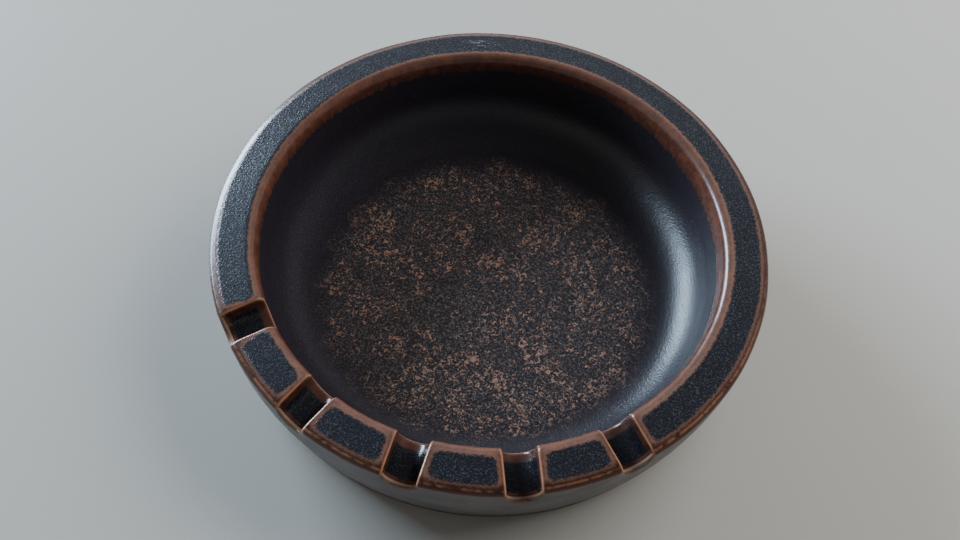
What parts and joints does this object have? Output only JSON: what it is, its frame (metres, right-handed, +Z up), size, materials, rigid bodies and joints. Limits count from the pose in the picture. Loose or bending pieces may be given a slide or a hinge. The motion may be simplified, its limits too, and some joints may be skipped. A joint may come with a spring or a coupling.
{
  "type": "round ceramic ashtray",
  "caption": "Low round stoneware bowl with a broad domed rim, U-shaped cigarette rests cut through one side of the rim, and a flat foot ring to stand on.",
  "frame": {"origin": "on the table under the middle of the foot ring", "axes": "+Z up out of the bowl; -Y towards the rim's middle cigarette rests; +X to the right seen from there"},
  "size_m": [0.1726, 0.1726, 0.034],
  "materials": {
    "stoneware": "bare fired clay, dry and slightly gritty",
    "bowl_glaze": "satin blue-black reactive glaze that breaks to glossy rust brown on the edges, with tan flecks on the bowl's floor",
    "wall_coat": "thin satin grey coat with faint horizontal streaks",
    "underside_glaze": "plain satin dark brown glaze"
  },
  "bodies": {
    "root": {"stoneware_body": "stoneware", "bowl_glaze": "bowl_glaze", "wall_coat": "wall_coat", "underside_glaze": "underside_glaze"}
  },
  "joints": []
}
